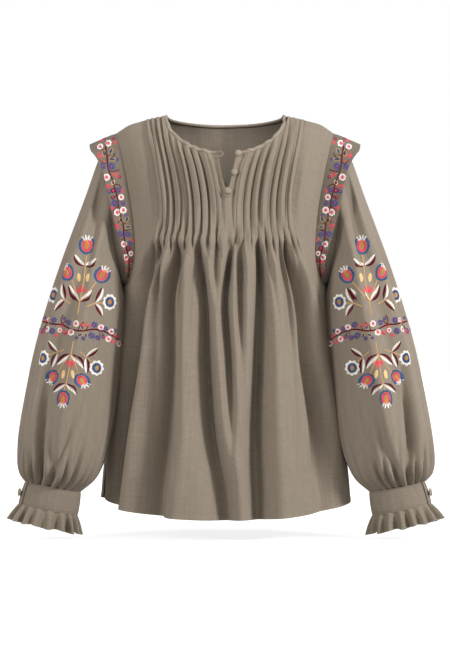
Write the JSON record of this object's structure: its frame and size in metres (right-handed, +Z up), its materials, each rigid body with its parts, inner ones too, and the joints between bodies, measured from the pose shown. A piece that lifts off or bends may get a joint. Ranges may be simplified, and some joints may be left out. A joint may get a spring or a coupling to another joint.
{
  "type": "embroidered blouse",
  "caption": "Long-sleeved folk blouse, hollow as if worn: pintucked front with a V slit, gathered body, embroidered shoulder wings and full sleeves gathered into frilled cuffs.",
  "frame": {"origin": "middle of the neck, at the height of the inner ends of the shoulder seams", "axes": "+Z up, -Y the way the front faces, +X from the sleeve at the picture's left to the one at its right"},
  "size_m": [0.6823, 0.2873, 0.6665],
  "materials": {
    "front": "matt plain-weave linen",
    "back": "matt plain-weave linen",
    "neck_binding": "matt plain-weave linen",
    "sleeve_left": "matt plain-weave linen",
    "flange_left": "matt plain-weave linen",
    "cuff_left": "matt plain-weave linen",
    "frill_left": "matt plain-weave linen",
    "cuff_button_left": "matt plain-weave linen",
    "sleeve_right": "matt plain-weave linen",
    "flange_right": "matt plain-weave linen",
    "cuff_right": "matt plain-weave linen",
    "frill_right": "matt plain-weave linen",
    "cuff_button_right": "matt plain-weave linen",
    "button_top": "matt plain-weave linen",
    "button_middle": "matt plain-weave linen",
    "button_lower": "matt plain-weave linen",
    "loop_top": "rolled cord of the same cloth",
    "loop_lower": "rolled cord of the same cloth"
  },
  "bodies": {
    "root": {"front": "front", "back": "back", "neck_binding": "neck_binding", "sleeve_left": "sleeve_left", "flange_left": "flange_left", "cuff_left": "cuff_left", "frill_left": "frill_left", "cuff_button_left": "cuff_button_left", "sleeve_right": "sleeve_right", "flange_right": "flange_right", "cuff_right": "cuff_right", "frill_right": "frill_right", "cuff_button_right": "cuff_button_right", "button_top": "button_top", "button_middle": "button_middle", "button_lower": "button_lower", "loop_top": "loop_top", "loop_lower": "loop_lower"}
  },
  "joints": []
}
